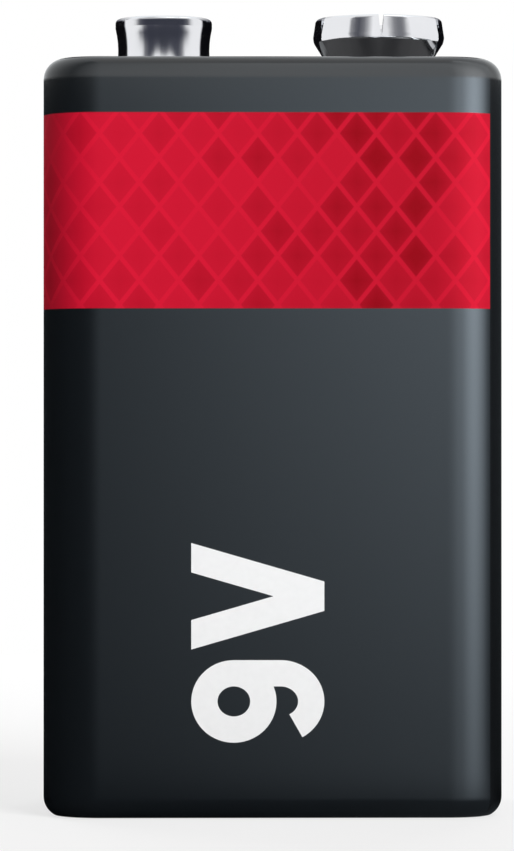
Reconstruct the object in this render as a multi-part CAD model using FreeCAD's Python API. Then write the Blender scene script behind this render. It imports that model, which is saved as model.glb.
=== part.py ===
"""Nine volt battery: six round cells in series inside a crimped sheet-metal jacket, with a snap stud
and a snap socket riveted to the board on top.

Millimetres. +Z is up, +X runs from the stud to the socket, and -Y is the front face.
The origin is on the surface that the battery stands on, under its middle.
"""

import FreeCAD, Part

import math
import os

Vector = FreeCAD.Vector
UP = Vector(0, 0, 1)
ORIGIN = Vector(0, 0, 0)

# Outside of the labelled battery
case_length = 26.5
case_width = 17.0
shoulder_height = 43.7
corner_radius = 3.3
edge_radius = 1.2

# Printed film round the jacket, turned in over its top edge
label_thickness = 0.1
label_turn_in = 1.6
label_base_margin = 0.05
# Degrees round the right front corner, from the front face
overlap_start = 12.0
overlap_end = 47.0

# Sheet-metal jacket, turned in over both ends
jacket_thickness = 0.2
lip_width = 2.1

# Pieces that close and insulate the inside
fit_gap = 0.05
board_thickness = 1.0
board_skirt = 1.1
headroom = 0.9
base_thickness = 0.6
pad_thickness = 0.5
liner_thickness = 0.15

# Terminals
terminal_spacing = 12.7
terminal_height = 3.1
terminal_sheet = 0.25

stud_head_diameter = 5.7
stud_neck_diameter = 5.4
stud_neck_height = 1.55
stud_foot_flare = 0.12
stud_head_land = 0.3
stud_rim_radius = 0.25
stud_well_diameter = 3.5

socket_crease_diameter = 7.7
socket_rim_diameter = 7.5
socket_foot_diameter = 5.5
socket_throat_diameter = 5.5
socket_crease_height = 1.85
socket_crease_radius = 0.2
socket_rim_radius = 0.25
socket_lip_depth = 1.0
socket_lead_in = 0.25
petal_count = 6
petal_flattening = 1.3
slit_top_width = 0.32
slit_foot_width = 0.1

# Rivets that hold each terminal and its lead to the board
rivet_shank_diameter = 1.5
rivet_head_diameter = 2.5
rivet_head_height = 0.35
rivet_clinch_height = 0.3
rivet_bore_diameter = 0.8
rivet_hole_clearance = 0.05

# Round cells, in two rows of three
cells_per_row = 3
cell_gap = 0.05
cell_edge_bevel = 0.4
button_diameter = 3.6
button_height = 0.6
crimp_width = 0.8
seal_width = 0.5
seal_depth = 0.6
cap_stand_out = 0.15
sleeve_thickness = 0.1
sleeve_lip_clearance = 0.15
groove_depth = 0.3
groove_height = 2.4

# Strips that join the cells
strip_thickness = 0.2
strip_width = 2.8
strip_bend_radius = 0.3
window_clearance = 0.3

# Places worked out from the sizes above
wall_depth = label_thickness + jacket_thickness
nest_depth = wall_depth + fit_gap
liner_depth = nest_depth + liner_thickness
jacket_top = shoulder_height - label_thickness
board_top = jacket_top - jacket_thickness
board_low = board_top - board_thickness
base_top = jacket_thickness + base_thickness
base_pad_top = base_top + pad_thickness
cells_low = base_pad_top + strip_thickness
top_pad_top = board_low - headroom
top_pad_low = top_pad_top - pad_thickness
cells_high = top_pad_low - strip_thickness
cell_length = cells_high - cells_low

inner_length = case_length - 2 * liner_depth
inner_width = case_width - 2 * liner_depth
cell_pocket = min(inner_width / 4, inner_length / (2 * cells_per_row)) - cell_gap / 2
sleeve_radius = cell_pocket - cell_gap / 2
can_radius = sleeve_radius - sleeve_thickness
seal_radius = can_radius - crimp_width
cap_radius = seal_radius - seal_width
cell_pitch_x = (inner_length - 2 * cell_pocket) / (cells_per_row - 1)
cell_pitch_y = inner_width - 2 * cell_pocket

stud_place = Vector(-terminal_spacing / 2, 0, board_top)
socket_place = Vector(terminal_spacing / 2, 0, board_top)
rivet_hole_radius = rivet_shank_diameter / 2 + rivet_hole_clearance


def line(start, end):
    """A straight edge between two points."""
    return Part.makeLine(start, end)


def arc(start, middle, end):
    """A circular edge through three points."""
    return Part.Arc(start, middle, end).toShape()


def quarter(start, corner, end):
    """A quarter round edge from start to end, where the square edge would have turned at corner."""
    centre = start + end - corner
    middle = centre + (corner - centre) * math.sqrt(0.5)
    return arc(start, middle, end)


def turned(edges):
    """A solid of revolution about Z, from the closed outline of its half section in the XZ plane."""
    face = Part.Face(Part.Wire(edges))
    return face.revolve(ORIGIN, UP, 360)


def polygon_edges(points):
    """The closed outline through the points."""
    return [line(a, b) for a, b in zip(points, points[1:] + points[:1])]


def section_point(radius, height):
    """A point of a half section: radius along X, height along Z."""
    return Vector(radius, 0, height)


def block(depth, low, high, edge=0.0):
    """A block whose walls lie `depth` inside the label's face, with its end edges rounded by `edge`."""
    half_x = case_length / 2 - depth
    half_y = case_width / 2 - depth
    corner = corner_radius - depth
    solid = Part.makeBox(2 * half_x, 2 * half_y, high - low, Vector(-half_x, -half_y, low))
    uprights = [e for e in solid.Edges if abs(e.tangentAt(e.FirstParameter).z) > 0.99]
    solid = solid.makeFillet(corner, uprights)
    if edge:
        middle = (low + high) / 2
        ends = [e for e in solid.Edges if abs(e.BoundBox.Center.z - middle) > (high - low) / 2 - 0.001]
        solid = solid.makeFillet(edge, ends)
    return solid


def slab(low, high):
    """Everything between two heights, wider than the battery."""
    side = 2 * (case_length + case_width)
    return Part.makeBox(side, side, high - low, Vector(-side / 2, -side / 2, low))


def nest(low, high):
    """The slice between two heights of what fits inside the jacket with a small gap."""
    whole = block(nest_depth, jacket_thickness, board_top, edge_radius - wall_depth)
    return whole.common(slab(low, high))


def jacket_outside():
    """The outer form of the sheet-metal jacket, as if solid."""
    return block(label_thickness, 0, jacket_top, edge_radius - label_thickness)


def make_jacket():
    """One sheet formed round the battery and turned in at both ends to hold the board and the base."""
    cavity = block(wall_depth, jacket_thickness, board_top, edge_radius - wall_depth)
    mouth = block(label_thickness + lip_width, -jacket_thickness, shoulder_height)
    return jacket_outside().cut(cavity).cut(mouth)


def make_label():
    """The printed film, wrapped round the jacket and lapped over itself at the right front corner.
    There its last bit lifts over its first bit, from nothing to one more thickness at its end."""
    outside = block(0, -label_thickness, shoulder_height, edge_radius)
    band = slab(label_base_margin, shoulder_height)
    mouth = block(label_turn_in, 0, shoulder_height)
    start = math.radians(overlap_start)
    lift = label_thickness / math.sin(math.radians(overlap_end - overlap_start))
    lifted = outside.translated(Vector(math.cos(start), math.sin(start), 0) * lift)
    layers = outside.fuse(lifted.common(lap_sector()))
    return layers.cut(jacket_outside()).cut(mouth).common(band).removeSplitter()


def lap_sector():
    """The upright wedge at the right front corner in which the film lies double."""
    reach = 3 * corner_radius
    hub = Vector(case_length / 2 - corner_radius, corner_radius - case_width / 2, 0)
    angles = (overlap_start, (overlap_start + overlap_end) / 2, overlap_end)
    rim = [
        hub + Vector(math.sin(math.radians(a)), -math.cos(math.radians(a)), 0) * reach
        for a in angles
    ]
    face = Part.Face(Part.Wire(polygon_edges([hub] + rim)))
    return face.extrude(UP * shoulder_height)


def make_board():
    """The moulded board that carries the terminals, on a skirt that stands on the top pad."""
    board = nest(top_pad_top, board_top)
    hollow = block(nest_depth + board_skirt, top_pad_top, board_low)
    board = board.cut(hollow)
    for place in (stud_place, socket_place):
        hole = Part.makeCylinder(rivet_hole_radius, board_thickness, place - UP * board_thickness)
        board = board.cut(hole)
    return board


def make_stud():
    """The snap stud: a drawn cap with a waist and a rounded head, and a well down to its rivet."""
    sheet = terminal_sheet
    top = terminal_height
    head = stud_head_diameter / 2
    neck = stud_neck_diameter / 2
    foot = neck + stud_foot_flare
    well = stud_well_diameter / 2
    rim = stud_rim_radius
    land_top = top - rim
    land_low = land_top - stud_head_land
    waist = stud_neck_height
    cuff = sheet / 2
    p = section_point
    edges = [
        arc(p(foot, 0), p(neck, waist), p(head, land_low)),
        line(p(head, land_low), p(head, land_top)),
        quarter(p(head, land_top), p(head, top), p(head - rim, top)),
        line(p(head - rim, top), p(well + rim, top)),
        quarter(p(well + rim, top), p(well, top), p(well, land_top)),
        line(p(well, land_top), p(well, sheet + cuff)),
        quarter(p(well, sheet + cuff), p(well, sheet), p(well - cuff, sheet)),
        line(p(well - cuff, sheet), p(rivet_hole_radius, sheet)),
        line(p(rivet_hole_radius, sheet), p(rivet_hole_radius, 0)),
        line(p(rivet_hole_radius, 0), p(well + sheet, 0)),
        line(p(well + sheet, 0), p(well + sheet, top - sheet)),
        line(p(well + sheet, top - sheet), p(head - sheet, top - sheet)),
        line(p(head - sheet, top - sheet), p(head - sheet, land_low)),
        arc(p(head - sheet, land_low), p(neck - sheet, waist), p(foot - sheet, 0)),
        line(p(foot - sheet, 0), p(foot, 0)),
    ]
    return turned(edges)


def petal_section():
    """Half section of one petal of the socket: floor, flaring wall, upright band and turned-in lip.
    The lip runs on past the throat, which is cut round through all the petals later."""
    sheet = terminal_sheet
    top = terminal_height
    foot = socket_foot_diameter / 2
    crease = socket_crease_diameter / 2
    rim = socket_rim_diameter / 2
    throat = socket_throat_diameter / 2
    roll = socket_rim_radius
    lip_in = throat - 2 * sheet
    lip_out = throat + sheet
    lip_end = top - socket_lip_depth
    bend = socket_crease_height
    ease = socket_crease_radius
    p = section_point
    corner = p(crease + ease / 4, bend)
    under = corner + (p(foot, 0) - corner).normalize() * ease
    over = corner + (p(rim, top - roll) - corner).normalize() * ease
    edges = [
        line(p(0, 0), p(foot, 0)),
        line(p(foot, 0), under),
        arc(under, p(crease, bend), over),
        line(over, p(rim, top - roll)),
        quarter(p(rim, top - roll), p(rim, top), p(rim - roll, top)),
        line(p(rim - roll, top), p(lip_in, top)),
        line(p(lip_in, top), p(lip_in, lip_end)),
        line(p(lip_in, lip_end), p(lip_out, lip_end)),
        line(p(lip_out, lip_end), p(lip_out, top - sheet)),
        line(p(lip_out, top - sheet), p(rim - sheet, top - sheet)),
        line(p(rim - sheet, top - sheet), p(crease - sheet, bend)),
        line(p(crease - sheet, bend), p(foot - sheet / 2, sheet)),
        line(p(foot - sheet / 2, sheet), p(0, sheet)),
        line(p(0, sheet), p(0, 0)),
    ]
    return edges


def make_petal(share):
    """One petal, centred on +X: its section is turned about an axis set back behind the socket's own,
    so that the petal is flatter than a round cup would be, and is cut to its share of the circle."""
    face = Part.Face(Part.Wire(petal_section()))
    face.translate(Vector(petal_flattening, 0, 0))
    ring = face.revolve(ORIGIN, UP, 360)
    ring.translate(Vector(-petal_flattening, 0, 0))
    reach = socket_crease_diameter
    half = math.radians(share / 2)
    corners = [
        ORIGIN,
        Vector(reach, -reach * math.tan(half), 0),
        Vector(reach, reach * math.tan(half), 0),
    ]
    wedge = Part.Face(Part.Wire(polygon_edges(corners))).extrude(UP * terminal_height)
    return ring.common(wedge)


def make_slit():
    """The gap between two petals, on +X: a narrow V from the rim down to the crease."""
    top = terminal_height
    foot = socket_crease_height
    inner = socket_throat_diameter / 2 - 2 * terminal_sheet
    corners = [
        Vector(inner, -slit_top_width / 2, top),
        Vector(inner, -slit_foot_width / 2, foot),
        Vector(inner, slit_foot_width / 2, foot),
        Vector(inner, slit_top_width / 2, top),
    ]
    return Part.Face(Part.Wire(polygon_edges(corners))).extrude(Vector(socket_crease_diameter / 2, 0, 0))


def make_socket():
    """The snap socket: a crown of sprung petals, with a round throat that grips the mating stud."""
    share = 360 / petal_count
    top = terminal_height
    throat = socket_throat_diameter / 2
    petals = []
    for n in range(petal_count):
        petal = make_petal(share)
        petal.rotate(ORIGIN, UP, share * (n + 0.5) - 90)
        petals.append(petal)
    crown = petals[0].multiFuse(petals[1:]).removeSplitter()
    crown = crown.cut(Part.makeCylinder(throat, top, UP * terminal_sheet))
    mouth = Part.makeCone(throat, throat + 2 * socket_lead_in, 2 * socket_lead_in, UP * (top - socket_lead_in))
    crown = crown.cut(mouth)
    crown = crown.cut(Part.makeCylinder(rivet_hole_radius, terminal_sheet))
    for n in range(petal_count):
        slit = make_slit()
        slit.rotate(ORIGIN, UP, share * n - 90)
        crown = crown.cut(slit)
    return crown


def dome_edge(radius, height, base):
    """The edge of a ball's cap: from the rim, at radius and base, to its top on the axis."""
    ball = (radius * radius + height * height) / (2 * height)
    half = math.asin(radius / ball) / 2
    centre = base + height - ball
    middle = section_point(ball * math.sin(half), centre + ball * math.cos(half))
    return arc(section_point(radius, base), middle, section_point(0, base + height))


def make_rivet():
    """A rivet with its head in the terminal and its clinched end under the lead."""
    shank = rivet_shank_diameter / 2
    head = rivet_head_diameter / 2
    bore = rivet_bore_diameter / 2
    seat = terminal_sheet
    grip_low = -board_thickness - strip_thickness
    clinch_low = grip_low - rivet_clinch_height
    bore_top = -board_thickness / 2
    p = section_point
    edges = [
        line(p(0, bore_top), p(bore, bore_top)),
        line(p(bore, bore_top), p(bore, clinch_low)),
        line(p(bore, clinch_low), p(head, clinch_low)),
        line(p(head, clinch_low), p(head, grip_low)),
        line(p(head, grip_low), p(shank, grip_low)),
        line(p(shank, grip_low), p(shank, seat)),
        line(p(shank, seat), p(head, seat)),
        dome_edge(head, rivet_head_height, seat),
        line(p(0, seat + rivet_head_height), p(0, bore_top)),
    ]
    return turned(edges)


def make_can():
    """A sealed cell, standing on its negative end: a drawn can with a button, and a bead groove."""
    r = can_radius
    bevel = cell_edge_bevel
    foot = cap_stand_out
    shoulder = cell_length - button_height
    button = button_diameter / 2
    bead_low = groove_height - groove_depth
    bead_high = groove_height + groove_depth
    points = [
        (0, foot + seal_depth),
        (seal_radius, foot + seal_depth),
        (seal_radius, foot),
        (r - bevel, foot),
        (r, foot + bevel),
        (r, bead_low),
        (r - groove_depth, groove_height),
        (r, bead_high),
        (r, shoulder - bevel),
        (r - bevel, shoulder),
        (button, shoulder),
        (button, cell_length),
        (0, cell_length),
    ]
    return turned(polygon_edges([section_point(*point) for point in points]))


def make_seal():
    """The moulded ring that insulates a cell's cap from its can."""
    ring = Part.makeCylinder(seal_radius, seal_depth, UP * cap_stand_out)
    return ring.cut(Part.makeCylinder(cap_radius, seal_depth, UP * cap_stand_out))


def make_cap():
    """The negative end cap, a little proud of the can's rim."""
    return Part.makeCylinder(cap_radius, cap_stand_out + seal_depth)


def make_sleeve():
    """The shrunk film round a cell, turned in over both of its ends."""
    r = can_radius
    film = sleeve_thickness
    bevel = cell_edge_bevel
    low = cap_stand_out
    high = cell_length - button_height
    lip = seal_radius + sleeve_lip_clearance
    mitre = film * math.tan(math.pi / 8)
    inner = [
        (lip, low),
        (r - bevel, low),
        (r, low + bevel),
        (r, high - bevel),
        (r - bevel, high),
        (lip, high),
    ]
    outer = [
        (lip, high + film),
        (r - bevel + mitre, high + film),
        (sleeve_radius, high - bevel + mitre),
        (sleeve_radius, low + bevel - mitre),
        (r - bevel + mitre, low - film),
        (lip, low - film),
    ]
    return turned(polygon_edges([section_point(*point) for point in inner + outer]))


def cell_centres():
    """Cell centres in the order of the series: up and down each column of two, from the stud's side."""
    centres = []
    for column in range(cells_per_row):
        x = (column - (cells_per_row - 1) / 2) * cell_pitch_x
        near_first = column % 2 == 0
        rows = (-1, 1) if near_first else (1, -1)
        centres += [Vector(x, row * cell_pitch_y / 2, 0) for row in rows]
    return centres


def place_in_cell(shape, number, centre):
    """Puts a cell's piece in its place: odd cells stand button up, even cells button down."""
    placed = shape.copy()
    if number % 2 == 0:
        placed.rotate(ORIGIN, Vector(1, 0, 0), 180)
        placed.translate(UP * cell_length)
    placed.translate(centre + UP * cells_low)
    return placed


def make_link(start, end, low):
    """A flat strip with round ends, welded across the ends of two neighbouring cells."""
    run = end - start
    half = strip_width / 2
    body = Part.makeBox(run.Length, strip_width, strip_thickness, Vector(0, -half, 0))
    for x in (0, run.Length):
        body = body.fuse(Part.makeCylinder(half, strip_thickness, Vector(x, 0, 0)))
    body = body.removeSplitter()
    body.rotate(ORIGIN, UP, math.degrees(math.atan2(run.y, run.x)))
    body.translate(Vector(start.x, start.y, low))
    return body


def lead_run(cell, terminal):
    """Length and heading, in degrees, of the plan line from a cell's end to its terminal's rivet."""
    along = terminal.x - cell.x
    across = terminal.y - cell.y
    return math.hypot(along, across), math.degrees(math.atan2(across, along))


def make_lead(cell, terminal):
    """A strip from a cell's end, up through the top pad, to the underside of the board at a rivet."""
    reach, heading = lead_run(cell, terminal)
    bend = strip_bend_radius
    low = cells_high + strip_thickness / 2
    high = board_low - strip_thickness / 2
    riser = reach / 2
    half = strip_width / 2
    p = section_point
    spine = Part.Wire(
        [
            line(p(-half, low), p(riser - bend, low)),
            quarter(p(riser - bend, low), p(riser, low), p(riser, low + bend)),
            line(p(riser, low + bend), p(riser, high - bend)),
            quarter(p(riser, high - bend), p(riser, high), p(riser + bend, high)),
            line(p(riser + bend, high), p(reach + half, high)),
        ]
    )
    corners = [
        Vector(-half, -half, low - strip_thickness / 2),
        Vector(-half, half, low - strip_thickness / 2),
        Vector(-half, half, low + strip_thickness / 2),
        Vector(-half, -half, low + strip_thickness / 2),
    ]
    section = Part.Wire(polygon_edges(corners))
    strip = spine.makePipeShell([section], True, False)
    hole = Part.makeCylinder(rivet_hole_radius, headroom, Vector(reach, 0, board_low - headroom))
    strip = strip.cut(hole)
    strip.rotate(ORIGIN, UP, heading)
    strip.translate(Vector(cell.x, cell.y, 0))
    return strip


def make_window(cell, terminal):
    """The slot in the top pad that a lead comes up through."""
    reach, heading = lead_run(cell, terminal)
    across = strip_thickness + 2 * window_clearance
    along = strip_width + 2 * window_clearance
    slot = Part.makeBox(
        across, along, pad_thickness, Vector(reach / 2 - across / 2, -along / 2, top_pad_low)
    )
    slot.rotate(ORIGIN, UP, heading)
    slot.translate(Vector(cell.x, cell.y, 0))
    return slot


def make_top_pad(first, last):
    """The insulating pad over the cells, with a slot for each lead."""
    pad = nest(top_pad_low, top_pad_top)
    return pad.cut(make_window(first, stud_place)).cut(make_window(last, socket_place))


def make_liner():
    """The insulating tube between the cells and the jacket."""
    tube = nest(base_pad_top, top_pad_low)
    return tube.cut(block(liner_depth, base_pad_top, top_pad_low))


def cell_pieces(centres):
    """Every cell's sealed can, seal, cap and shrunk sleeve, each as its own piece."""
    shapes = {
        "cell_can": make_can(),
        "cell_seal": make_seal(),
        "cell_cap": make_cap(),
        "cell_sleeve": make_sleeve(),
    }
    pieces = {}
    for number, centre in enumerate(centres, start=1):
        for name, shape in shapes.items():
            pieces[f"{name}_{number}"] = place_in_cell(shape, number, centre)
    return pieces


def link_pieces(centres):
    """The strips that put the cells in series: at the base under each pair, and at the top between."""
    pieces = {}
    for first in range(0, len(centres) - 1):
        at_base = first % 2 == 0
        side = "base" if at_base else "top"
        low = base_pad_top if at_base else cells_high
        name = f"{side}_link_{first // 2 + 1}"
        pieces[name] = make_link(centres[first], centres[first + 1], low)
    return pieces


def make_pieces():
    """Every separate piece of the battery, by name."""
    centres = cell_centres()
    first, last = centres[0], centres[-1]
    stud, socket = make_stud(), make_socket()
    stud.translate(stud_place)
    socket.translate(socket_place)
    rivets = []
    for place in (stud_place, socket_place):
        rivet = make_rivet()
        rivet.translate(place)
        rivets.append(rivet)
    pieces = {
        "jacket": make_jacket(),
        "label_film": make_label(),
        "terminal_board": make_board(),
        "positive_stud": stud,
        "negative_socket": socket,
        "terminal_rivets": Part.makeCompound(rivets),
        "positive_lead": make_lead(first, stud_place),
        "negative_lead": make_lead(last, socket_place),
        "top_pad": make_top_pad(first, last),
        "cell_liner": make_liner(),
        "base_pad": nest(base_top, base_pad_top),
        "base_plate": nest(jacket_thickness, base_top),
    }
    pieces.update(link_pieces(centres))
    pieces.update(cell_pieces(centres))
    return pieces


def main():
    """Writes one STEP file for each piece."""
    os.makedirs("parts", exist_ok=True)
    for name, shape in make_pieces().items():
        shape.exportStep(f"parts/{name}.step")


main()
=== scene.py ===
import math

import bmesh
import bpy
import numpy as np
from bpy.props import FloatProperty, FloatVectorProperty, IntProperty, PointerProperty
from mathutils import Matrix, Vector


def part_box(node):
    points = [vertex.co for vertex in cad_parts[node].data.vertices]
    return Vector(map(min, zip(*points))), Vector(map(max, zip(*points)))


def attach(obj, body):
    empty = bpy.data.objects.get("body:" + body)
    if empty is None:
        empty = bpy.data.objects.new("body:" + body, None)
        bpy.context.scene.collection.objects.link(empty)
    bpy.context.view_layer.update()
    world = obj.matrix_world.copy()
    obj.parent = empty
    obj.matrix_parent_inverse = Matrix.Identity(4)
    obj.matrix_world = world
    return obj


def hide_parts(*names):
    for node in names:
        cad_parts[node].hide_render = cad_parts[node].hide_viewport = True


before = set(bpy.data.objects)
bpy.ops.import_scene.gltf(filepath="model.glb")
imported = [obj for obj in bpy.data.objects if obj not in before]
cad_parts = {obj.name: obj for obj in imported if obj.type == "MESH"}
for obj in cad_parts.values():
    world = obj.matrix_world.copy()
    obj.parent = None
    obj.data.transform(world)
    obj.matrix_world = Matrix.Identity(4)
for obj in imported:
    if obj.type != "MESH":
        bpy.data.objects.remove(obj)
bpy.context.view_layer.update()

bl_info = {
    "name": "Nine Volt Battery",
    "version": (1, 0, 0),
    "blender": (4, 5, 0),
    "location": "View3D > Sidebar > Battery",
    "description": "Dresses a nine volt battery: printed film, plated terminals, inner pieces and its stage",
    "category": "Object",
}

MM = 0.001
BODY = "root"
FILM_LOW, FILM_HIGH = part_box("label_film")
BOARD_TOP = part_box("terminal_board")[1].z
STUD_LOW, STUD_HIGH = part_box("positive_stud")
SOCKET_LOW, SOCKET_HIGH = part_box("negative_socket")

MIDDLE_HEIGHT = FILM_HIGH.z / 2

# The terminals' foot as the camera first sees it, this far over the film's top
FOOT_RISE = 0.15 * MM
TERMINAL_FOOT = FILM_HIGH.z + FOOT_RISE

# The form of the film, as the frame's own film has it
CORNER_RADIUS = 3.3 * MM
EDGE_RADIUS = 1.2 * MM
FILM_THICKNESS = 0.1 * MM
FILM_TURN_IN = 1.6 * MM
LAP_START = math.radians(12)
LAP_END = math.radians(47)

# How far from a round the next point of a straight lies, which keeps the straight's shading flat
GUARD = 0.15 * MM

# Points closer than this are welded, and an edge that turns by more than this is shaded as an edge
WELD_DISTANCE = 0.001 * MM
SHARP_ANGLE = math.radians(35)

# The belt's print: how softly its edges end, how much of what chance adds to a lozenge's depth is lost from
# its middle to its edge, the depth that every lozenge has, the most that chance adds to it, and how much
# the tone adds to that most and to the whole belt
PRINT_SOFTNESS = 0.05 * MM
DEPTH_LOSS = 0.45
LEAST_DEPTH = 0.1
CHANCE_DEPTH = 0.26
LOZENGE_TONE = 0.6
BELT_TONE = 0.5

# The belt's tone: its middle, how far it swells to either side of that, the place of its first swell as an
# angle out of two whole turns, and the share of it that is left beside the lap, where the lighter red is a
# painted highlight on the right front corner, with the place and the softness of that share's end
TONE_MIDDLE = 0.42
TONE_SWELL = 0.33
TONE_TURN = math.radians(25)
HIGHLIGHT_TONE_SHARE = 0.4
HIGHLIGHT_END = 2.4 * MM
HIGHLIGHT_SOFTNESS = 3 * MM

# The sign's figures, as shares of the sign's height, and the width of the V's leg as a share of the stroke
NINE_HALF_WIDTH = 0.31
BOWL_HALF_HEIGHT = 0.32
TAIL_HALF_HEIGHT = 0.33
V_HALF_WIDTH = 0.4
FIGURE_GAP = 0.08
V_LEG = 1.12

# How far the nine's tail turns, the points round it, and the share of the ink's thickness that it has, so
# that it never lies in one plane with the bowl
TAIL_TURN = math.radians(-150)
FIGURE_STEPS = 40
TAIL_INK = 0.9

# From the middle between the terminals to each mark on the board, as a share of the mark's width
MARK_OFFSET = 1.1

# The floor's half width, and where and over what width it turns to plain white
FLOOR_HALF = 1.5
FLOOR_FADE = 0.11
FLOOR_FADE_WIDTH = 0.14

# The cards that gloss shows: points round each, and how far the large one lies over the floor
CARD_COLUMNS = 180
CARD_LIFT = 0.02 * MM

# A terminal's card: how far its wall rises past the stud, how far its cover rises past the wall and leans
# in as a share of its radius, and the rows of each
RING_WALL_RISE = 0.9 * MM
RING_COVER_RISE = 3.1 * MM
RING_COVER_LEAN = 0.23
RING_WALL_ROWS = 72
RING_COVER_ROWS = 8

# The lamps: how far from the battery's middle they stand, how high, how wide their faces are, and where
# each stands, in degrees from the front towards +X
LAMP_DISTANCE = 0.28
LAMP_HEIGHT = 0.17
LAMP_SIZE = 0.16
KEY_AZIMUTH = 32
BACK_LEFT_AZIMUTH = -150
BACK_RIGHT_AZIMUTH = 168

# The photograph: its frame, the middle of the battery in it, and its scale at the battery's middle
PHOTO_WIDTH = 514
PHOTO_HEIGHT = 851
PHOTO_MIDDLE_X = 271.2
PHOTO_HORIZON_Y = 437.0
PHOTO_PIXELS_PER_MM = 16.92


class FilmSettings(bpy.types.PropertyGroup):
    """What a user would change on the printed film."""

    film_colour: FloatVectorProperty(
        name="Film", description="Colour of the plain film", subtype="COLOR", size=3, min=0, max=1,
        default=(0.0065, 0.0085, 0.0105),
    )
    margin_colour: FloatVectorProperty(
        name="Bare film", description="Colour of the margin that isn't printed", subtype="COLOR", size=3,
        min=0, max=1, default=(0.003, 0.0035, 0.004),
    )
    belt_colour: FloatVectorProperty(
        name="Belt", description="Lighter colour of the printed belt", subtype="COLOR", size=3, min=0, max=1,
        default=(0.65, 0.008, 0.034),
    )
    lozenge_colour: FloatVectorProperty(
        name="Lozenges", description="Darker colour of the belt's lozenges", subtype="COLOR", size=3,
        min=0, max=1, default=(0.26, 0.0005, 0.006),
    )
    belt_low: FloatProperty(
        name="Belt foot", description="Height of the belt's lower edge", default=29.2 * MM, unit="LENGTH",
    )
    belt_high: FloatProperty(
        name="Belt top", description="Height of the belt's upper edge", default=40.4 * MM, unit="LENGTH",
    )
    lozenges_around: IntProperty(
        name="Lozenges around", description="How many lozenges go round the battery", default=36, min=4,
    )
    lozenge_height: FloatProperty(
        name="Lozenge height", description="Height of one lozenge", default=2.8 * MM, unit="LENGTH",
    )
    line_width: FloatProperty(
        name="Line width", description="Width of the lines between lozenges", default=0.26 * MM,
        unit="LENGTH",
    )
    margin: FloatProperty(
        name="Unprinted margin", description="Width left bare beyond the lap", default=2.9 * MM,
        unit="LENGTH",
    )
    corner_steps: IntProperty(
        name="Corner steps", description="Faces round each corner and edge", default=24, min=4,
    )


class SignSettings(bpy.types.PropertyGroup):
    """What a user would change on the printed and moulded signs."""

    ink_colour: FloatVectorProperty(
        name="Ink", description="Colour of the printed sign", subtype="COLOR", size=3, min=0, max=1,
        default=(0.9, 0.9, 0.9),
    )
    sign_height: FloatProperty(
        name="Sign height", description="Height of the printed sign's figures", default=7.6 * MM,
        unit="LENGTH",
    )
    stroke: FloatProperty(
        name="Stroke", description="Width of the figures' strokes", default=1.5 * MM, unit="LENGTH",
    )
    sign_foot_x: FloatProperty(
        name="Sign foot", description="Where the foot of the sign lies, from the middle", default=2.9 * MM,
        unit="LENGTH",
    )
    sign_low_z: FloatProperty(
        name="Sign start", description="Height at which the sign starts", default=4.4 * MM, unit="LENGTH",
    )
    ink_thickness: FloatProperty(
        name="Ink thickness", description="How far the ink stands proud", default=0.012 * MM, unit="LENGTH",
    )
    mark_size: FloatProperty(
        name="Mark size", description="Width of the plus and minus on the board", default=1.5 * MM,
        unit="LENGTH",
    )
    mark_stroke: FloatProperty(
        name="Mark stroke", description="Width of the marks' bars", default=0.36 * MM, unit="LENGTH",
    )
    mark_height: FloatProperty(
        name="Mark height", description="How far the marks stand above the board", default=0.08 * MM,
        unit="LENGTH",
    )


class CaseSettings(bpy.types.PropertyGroup):
    """What a user would change on the jacket, the board and the terminals."""

    plating_colour: FloatVectorProperty(
        name="Plating", description="Colour of the terminals' plating", subtype="COLOR", size=3, min=0, max=1,
        default=(0.86, 0.87, 0.89),
    )
    plating_roughness: FloatProperty(
        name="Plating roughness", description="Roughness of the terminals", default=0.075, min=0, max=1,
        subtype="FACTOR",
    )
    tinplate_colour: FloatVectorProperty(
        name="Tinplate", description="Colour of the jacket", subtype="COLOR", size=3, min=0, max=1,
        default=(0.6, 0.61, 0.62),
    )
    tinplate_roughness: FloatProperty(
        name="Tinplate roughness", description="Roughness of the jacket", default=0.3, min=0, max=1,
        subtype="FACTOR",
    )
    rivet_colour: FloatVectorProperty(
        name="Rivets", description="Colour of the terminals' rivets", subtype="COLOR", size=3, min=0, max=1,
        default=(0.62, 0.62, 0.62),
    )
    board_colour: FloatVectorProperty(
        name="Board", description="Colour of the board and the base plate", subtype="COLOR", size=3,
        min=0, max=1, default=(0.014, 0.014, 0.015),
    )


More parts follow.
